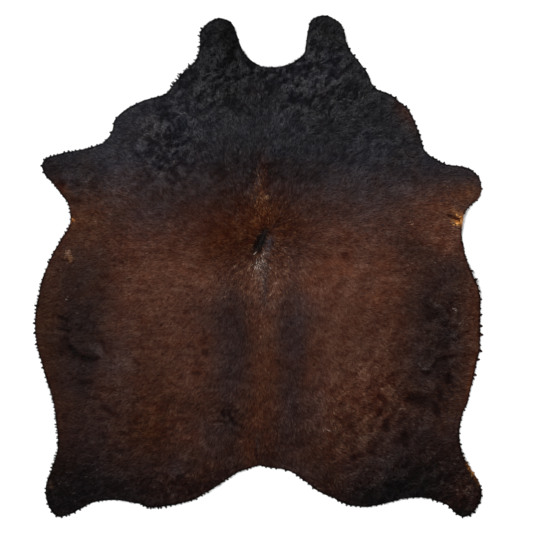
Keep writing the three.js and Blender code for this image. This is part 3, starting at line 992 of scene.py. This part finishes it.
def make_rim(material):
    """Short locks round the cut edge, dark with the rim's dark under-fur and painted shade: they bend over it
    towards the floor and end at the outline, and near each tuft they draw together and poke out."""
    steps = np.hypot(*(np.roll(RIM, -1, axis=0) - RIM).T)
    along = np.concatenate([[0.0], np.cumsum(steps)])
    closed = np.concatenate([RIM, RIM[:1]])
    inner = inward(RIM, RIM_LOCK)
    inner = np.concatenate([inner, inner[:1]])

    def at(where, curve=closed):
        return np.stack([np.interp(where, along, curve[:, k]) for k in (0, 1)], axis=-1)

    rng = np.random.default_rng(8)
    tufts = rim_tufts(along[-1], at)
    spots = np.linspace(0.0, along[-1], RIM_LOCKS, endpoint=False) + rng.uniform(-0.7, 0.7, RIM_LOCKS)
    spots = np.clip(spots, 0.0, along[-1])
    nearest = np.abs(spots[:, None] - tufts[:, 0]).argmin(axis=1)
    gap = tufts[nearest, 0] - spots
    pull = np.sqrt(np.clip(1 - (gap / tufts[nearest, 3]) ** 2, 0.0, 1.0))
    tip_spot = np.clip(spots + 0.35 * gap * (pull > 0) + tufts[nearest, 2] * pull, 0.0, along[-1])
    root = at(spots, inner)
    tip = at(tip_spot)
    out = at(spots) - root
    out /= np.linalg.norm(out, axis=1)[:, None]
    reach = tufts[nearest, 1] * pull + UNEVEN * drift(*tip.T, 30, 51) - rng.uniform(0.5, 1.7, RIM_LOCKS)
    tip = tip + out * reach[:, None]
    root = root + out * rng.uniform(-2.0, 4.0, RIM_LOCKS)[:, None]
    across = np.stack([-out[:, 1], out[:, 0]], axis=1)
    half = rng.uniform(1.2, 2.0, RIM_LOCKS)[:, None]
    lift = bumps(root[:, 0], root[:, 1], RIPPLES)
    dye_and_shade = dye_at(root[:, 0], root[:, 1]) * np.exp(rng.normal(0.0, 0.3, RIM_LOCKS))[:, None]
    # painted shade of the rim, with its dark under-fur, as on the coat beside it
    dye_and_shade *= np.maximum(rim_light(*(root + 4.0 * out).T), 0.12)[:, None]
    sides = []
    shades = []
    for section in RIM_SECTIONS:
        centre = root + section["along"] * (tip - root)
        for side in (1, -1):
            place = centre + side * across * half * section["half"]
            sides.append(np.column_stack([place, lift + section["high"]]))
            # painted light along the lock, from its raised root to its tip by the floor
            shades.append(dye_and_shade * section["light"])
    points = np.stack(sides, axis=1).reshape(-1, 3)
    faces = lock_faces(RIM_LOCKS, np.array([[1, 3, 2, 0], [3, 5, 4, 2]]))
    return make_mesh(
        "rim_hair", points, faces, [material], dye_and_shade=np.stack(shades, axis=1).reshape(-1, 3),
        along=np.tile(np.repeat([section["along"] for section in RIM_SECTIONS], 2), RIM_LOCKS),
    )


# Materials

# How often each pattern repeats in a metre
HAIR_STREAKS = 330.0              # every 3 mm, where real hairs are 0.1 mm thick, so that they show
GLOSS_CHANGES = 45.0              # every 22 mm, from lock to lock
HAIR_BUNDLES = 500.0              # roots 2 mm apart
SUEDE_CLOUDS = 9.0
SUEDE_FIBRES = 900.0
SUEDE_VEINS = 30.0                # some 30 mm apart


def add(tree, kind, settings=None, **links):
    """Adds a node, sets its properties and input values, and links its inputs from (node, output) pairs."""
    node = tree.nodes.new(kind)
    for key, value in (settings or {}).items():
        if isinstance(key, str) and hasattr(node, key):
            setattr(node, key, value)
        else:
            node.inputs[key].default_value = value
    for key, (source, output) in links.items():
        slot = int(key[2:]) if key.startswith("in") and key[2:].isdigit() else key.replace("_", " ")
        tree.links.new(source.outputs[output], node.inputs[slot])
    return node


def new_material(name):
    """An empty node material with its shader and output joined."""
    material = bpy.data.materials.new(name)
    material.use_nodes = True
    tree = material.node_tree
    tree.nodes.clear()
    shader = add(tree, "ShaderNodeBsdfPrincipled")
    add(tree, "ShaderNodeOutputMaterial", Surface=(shader, "BSDF"))
    return material, tree, shader


def colour_and_emboss(tree, shader, colour, shade, pattern, strength, deep):
    """Gives the shader a colour times a shade, each a (node, output) pair, and embosses a pattern in it."""
    tinted = add(tree, "ShaderNodeVectorMath", {"operation": "SCALE"}, in0=colour, Scale=shade)
    tree.links.new(tinted.outputs["Vector"], shader.inputs["Base Color"])
    bump = add(tree, "ShaderNodeBump", {"Strength": strength, "Distance": deep}, Height=(pattern, "Fac"))
    tree.links.new(bump.outputs["Normal"], shader.inputs["Normal"])


def cow_hair():
    """Cow hair, coloured by the markings, with the light and shade painted into each lock's colour: dark,
    slightly glossy keratin. Fine streaks break up each lock, and the gloss varies from lock to lock."""
    material, tree, shader = new_material("cow_hair")
    where = add(tree, "ShaderNodeTexCoord")
    dye_and_shade = add(tree, "ShaderNodeAttribute", {"attribute_name": "dye_and_shade"})
    fine = {"Scale": HAIR_STREAKS, "Detail": 2.0}
    streaks = add(tree, "ShaderNodeTexNoise", fine, Vector=(where, "Object"))
    shade = add(tree, "ShaderNodeMapRange", {"To Min": 0.72, "To Max": 1.28}, Value=(streaks, "Fac"))
    colour_and_emboss(tree, shader, (dye_and_shade, "Color"), (shade, "Result"), streaks, 0.25, 0.0006)
    coarse = {"Scale": GLOSS_CHANGES, "Detail": 2.0}
    patchy = add(tree, "ShaderNodeTexNoise", coarse, Vector=(where, "Object"))
    gloss = add(tree, "ShaderNodeMapRange", {"To Min": 0.42, "To Max": 0.62}, Value=(patchy, "Fac"))
    tree.links.new(gloss.outputs["Result"], shader.inputs["Roughness"])
    shader.inputs["Specular IOR Level"].default_value = 0.05
    shader.inputs["IOR"].default_value = 1.55
    return material


def hair_roots():
    """The hair side of the skin between the locks: dense under-hair, matt and darker than the coat with
    painted shade under the locks, stippled by the hair bundles."""
    material, tree, shader = new_material("hair_roots")
    where = add(tree, "ShaderNodeTexCoord")
    dye_and_shade = add(tree, "ShaderNodeAttribute", {"attribute_name": "dye_and_shade"})
    fine = {"Scale": HAIR_BUNDLES, "Detail": 2.0}
    stipple = add(tree, "ShaderNodeTexNoise", fine, Vector=(where, "Object"))
    shade = add(tree, "ShaderNodeMapRange", {"To Min": 0.5, "To Max": 1.4}, Value=(stipple, "Fac"))
    colour_and_emboss(tree, shader, (dye_and_shade, "Color"), (shade, "Result"), stipple, 0.6, 0.001)
    shader.inputs["Roughness"].default_value = 0.8
    shader.inputs["Specular IOR Level"].default_value = 0.2
    return material


def suede():
    """The flesh side of chrome-tanned leather, buffed to suede: pale warm grey-tan, matt, with a short nap,
    cloudy tone and faint veins."""
    material, tree, shader = new_material("flesh_side_suede")
    where = add(tree, "ShaderNodeTexCoord")
    clouds = add(tree, "ShaderNodeTexNoise", {"Scale": SUEDE_CLOUDS, "Detail": 5.0}, Vector=(where, "Object"))
    fibres = add(tree, "ShaderNodeTexNoise", {"Scale": SUEDE_FIBRES, "Detail": 3.0}, Vector=(where, "Object"))
    edges = {"feature": "DISTANCE_TO_EDGE", "Scale": SUEDE_VEINS}
    veins = add(tree, "ShaderNodeTexVoronoi", edges, Vector=(where, "Object"))
    tone = add(tree, "ShaderNodeValToRGB", Fac=(clouds, "Fac"))
    for stop, position, code in zip(tone.color_ramp.elements, (0.3, 0.7), ("#8f8172", "#b5a794")):
        stop.position = position
        stop.color = (*linear(code), 1.0)
    narrow = {"From Max": 0.05, "To Min": 0.86, "To Max": 1.0}
    line = add(tree, "ShaderNodeMapRange", narrow, Value=(veins, "Distance"))
    nap = add(tree, "ShaderNodeMapRange", {"To Min": 0.88, "To Max": 1.1}, Value=(fibres, "Fac"))
    both = add(tree, "ShaderNodeMath", {"operation": "MULTIPLY"}, in0=(line, "Result"), in1=(nap, "Result"))
    colour_and_emboss(tree, shader, (tone, "Color"), (both, "Value"), fibres, 0.5, 0.0008)
    shader.inputs["Roughness"].default_value = 0.95
    shader.inputs["Specular IOR Level"].default_value = 0.15
    return material


def plain_floor():
    """Matt white studio floor."""
    material, _, shader = new_material("studio_floor")
    shader.inputs["Base Color"].default_value = (*linear("#ffffff"), 1.0)
    shader.inputs["Roughness"].default_value = 1.0
    shader.inputs["Specular IOR Level"].default_value = 0.0
    return material


# Studio: floor, light and camera

FRAME_SIDE = 533                  # pixels of the square picture
PIXEL = 2200.0 / 502.0            # mm for each pixel: the hide's length over its length in the picture
HIDE_AT = (258.0, 266.0)          # the hide's middle in the picture, in pixels from its top left
CAMERA_HEIGHT = 6.0               # metres above the floor
SENSOR = 36.0                     # mm
FLOOR_REACH = 40.0                # metres from the middle to the sides of the floor
FLOOR_DROP = 0.0006               # metres from the underside of the skin down to the floor
SKY = 0.22                        # strength of the even white sky
SUN_SPREAD = 30.0                 # degrees, for soft shadows
SUNS = rows(
    "name tilt_x tilt_y strength",
    ("left_sun", -0.50, -0.70, 3.2),
    ("right_sun", 0.45, 0.55, 0.8),
)


def set_studio():
    """A wide floor just under the hide, two broad soft suns from both sides, an even sky, and a camera that
    looks straight down."""
    floor_mesh = bpy.data.meshes.new("floor")
    turns = ((-1, -1), (1, -1), (1, 1), (-1, 1))
    places = [(x * FLOOR_REACH, y * FLOOR_REACH, -FLOOR_DROP) for x, y in turns]
    floor_mesh.from_pydata(places, [], [(0, 1, 2, 3)])
    floor_mesh.materials.append(plain_floor())
    floor = bpy.data.objects.new("floor", floor_mesh)
    bpy.context.scene.collection.objects.link(floor)
    for sun in SUNS:
        light = bpy.data.lights.new(sun["name"], "SUN")
        light.energy = sun["strength"]
        light.angle = np.radians(SUN_SPREAD)
        lamp = bpy.data.objects.new(sun["name"], light)
        lamp.rotation_euler = (sun["tilt_x"], sun["tilt_y"], 0.0)
        bpy.context.scene.collection.objects.link(lamp)
    world = bpy.data.worlds.new("studio")
    world.use_nodes = True
    sky = world.node_tree.nodes["Background"]
    sky.inputs["Color"].default_value = (1.0, 1.0, 1.0, 1.0)
    sky.inputs["Strength"].default_value = SKY
    bpy.context.scene.world = world
    lens = bpy.data.cameras.new("camera")
    lens.sensor_width = SENSOR
    lens.lens = SENSOR * CAMERA_HEIGHT * METRE / (FRAME_SIDE * PIXEL)
    camera = bpy.data.objects.new("camera", lens)
    camera.location = (
        (FRAME_SIDE / 2 - HIDE_AT[0]) * PIXEL / METRE,
        -(FRAME_SIDE / 2 - HIDE_AT[1]) * PIXEL / METRE,
        CAMERA_HEIGHT,
    )
    bpy.context.scene.collection.objects.link(camera)
    bpy.context.scene.camera = camera
    bpy.context.scene.view_settings.view_transform = "Standard"


# The hide

hair = cow_hair()
leather = make_leather(hair_roots(), suede())

# Parts of the coat: locks, their cross-sections from root to tip, and the region, which goes from one line
# across the hide to the next and, at the flanks, up to the spine
COAT = rows(
    "name locks levels region",
    ("neck_coat", NECK_LOCKS, 4, lambda x, y: y > 440),
    ("shoulder_coat", BODY_LOCKS, 3, lambda x, y: (y > 20) & (y <= 440)),
    ("left_flank_coat", BODY_LOCKS, 3, lambda x, y: (y > -520) & (y <= 20) & (x < 12)),
    ("right_flank_coat", BODY_LOCKS, 3, lambda x, y: (y > -520) & (y <= 20) & (x >= 12)),
    ("rump_coat", BODY_LOCKS, 3, lambda x, y: y <= -520),
)
coat = [
    make_coat(part["name"], part["locks"], part["region"], part["levels"], 100 + number, hair)
    for number, part in enumerate(COAT)
]
coat.append(make_rim(hair))

for piece in [leather, *coat]:
    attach(piece, "root")
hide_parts("hide")
edge_x, edge_y = inward(RIM, EDGE_INSET).T / METRE

set_studio()
